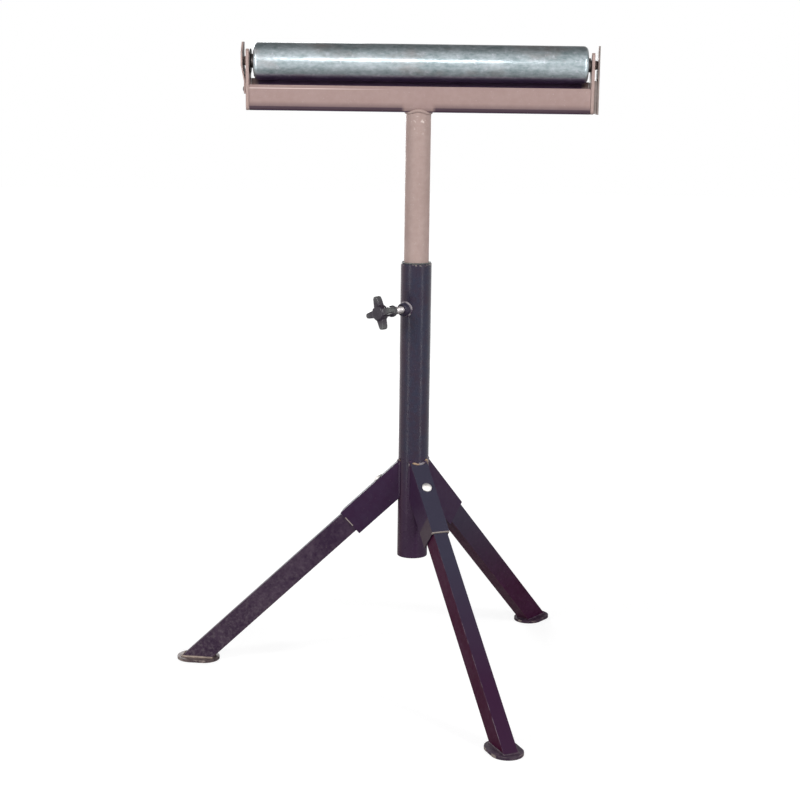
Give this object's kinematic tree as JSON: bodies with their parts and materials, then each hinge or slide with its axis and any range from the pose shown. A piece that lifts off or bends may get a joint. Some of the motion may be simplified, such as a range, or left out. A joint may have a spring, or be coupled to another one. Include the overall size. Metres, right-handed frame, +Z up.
{
  "type": "roller stand",
  "caption": "Tripod work support with a free-turning roller in a channel cradle, on a round post that slides and turns in a clamped column.",
  "frame": {"origin": "on the floor, under the middle of the whole stand", "axes": "X along the roller, to the right seen from the front; Y to the back; Z up"},
  "size_m": [0.564, 0.578, 0.8559],
  "materials": {
    "black_paint": "black enamel, satin, worn to bare metal on edges and foot rims",
    "taupe_paint": "satin pinkish grey paint, lightly scuffed",
    "zinc": "galvanised, dull with a mottled spangle",
    "bright_steel": "bright zinc-plated steel",
    "dark_steel": "dull plain steel, lightly oiled",
    "black_plastic": "moulded black plastic, slight sheen"
  },
  "bodies": {
    "base": {"column_tube": "black_paint", "clamp_boss": "black_paint", "sleeve_front": "black_paint", "leg_front": "black_paint", "bolt_front": "bright_steel", "bolt_nut_front": "bright_steel", "foot_front": "black_paint", "sleeve_rear": "black_paint", "leg_rear": "black_paint", "bolt_rear": "bright_steel", "bolt_nut_rear": "bright_steel", "foot_rear": "black_paint", "sleeve_left": "black_paint", "leg_left": "black_paint", "bolt_left": "bright_steel", "bolt_nut_left": "bright_steel", "foot_left": "black_paint"},
    "bush": {"guide_bush": "black_plastic"},
    "head": {"post_tube": "taupe_paint", "cradle_channel": "taupe_paint", "end_plate_left": "taupe_paint", "keeper_plate_left": "taupe_paint", "keeper_screw_left": "dark_steel", "end_plate_right": "taupe_paint", "stop_spacer_right": "taupe_paint", "axle_stop_right": "taupe_paint", "axle": "dark_steel", "axle_washer": "dark_steel", "bearing_cone_left": "dark_steel", "bearing_cone_right": "dark_steel"},
    "roller": {"roller_tube": "zinc", "bearing_cup_left": "dark_steel", "bearing_balls_left": "bright_steel", "bearing_cup_right": "dark_steel", "bearing_balls_right": "bright_steel"},
    "pad": {"clamp_pad": "bright_steel"},
    "knob": {"clamp_knob": "black_plastic", "clamp_stud": "bright_steel"}
  },
  "joints": [
    {"name": "post_swivel", "type": "hinge", "parent": "base", "child": "bush", "pos_m": [0.04854, 0.01953, 0.5505], "axis": [0, 0, 1], "continuous": true},
    {"name": "post_slide", "type": "slide", "parent": "bush", "child": "head", "axis": [0, 0, 1], "range_m": [-0.19, 0.17]},
    {"name": "roller_spin", "type": "hinge", "parent": "head", "child": "roller", "pos_m": [0.05049, 0.01953, 0.83146], "axis": [1, 0, 0], "continuous": true},
    {"name": "pad_slide", "type": "slide", "parent": "base", "child": "pad", "axis": [-0.6561, -0.7547, 0], "range_m": [0, 0.003]},
    {"name": "knob_turn", "type": "hinge", "parent": "pad", "child": "knob", "pos_m": [0.01902, -0.01444, 0.51046], "axis": [-0.6561, -0.7547, 0], "range_deg": [0, 720.5]}
  ],
  "couplings": [
    {"joint": "knob_turn", "follows": "pad_slide", "rad_per_m": 4188.8}
  ]
}
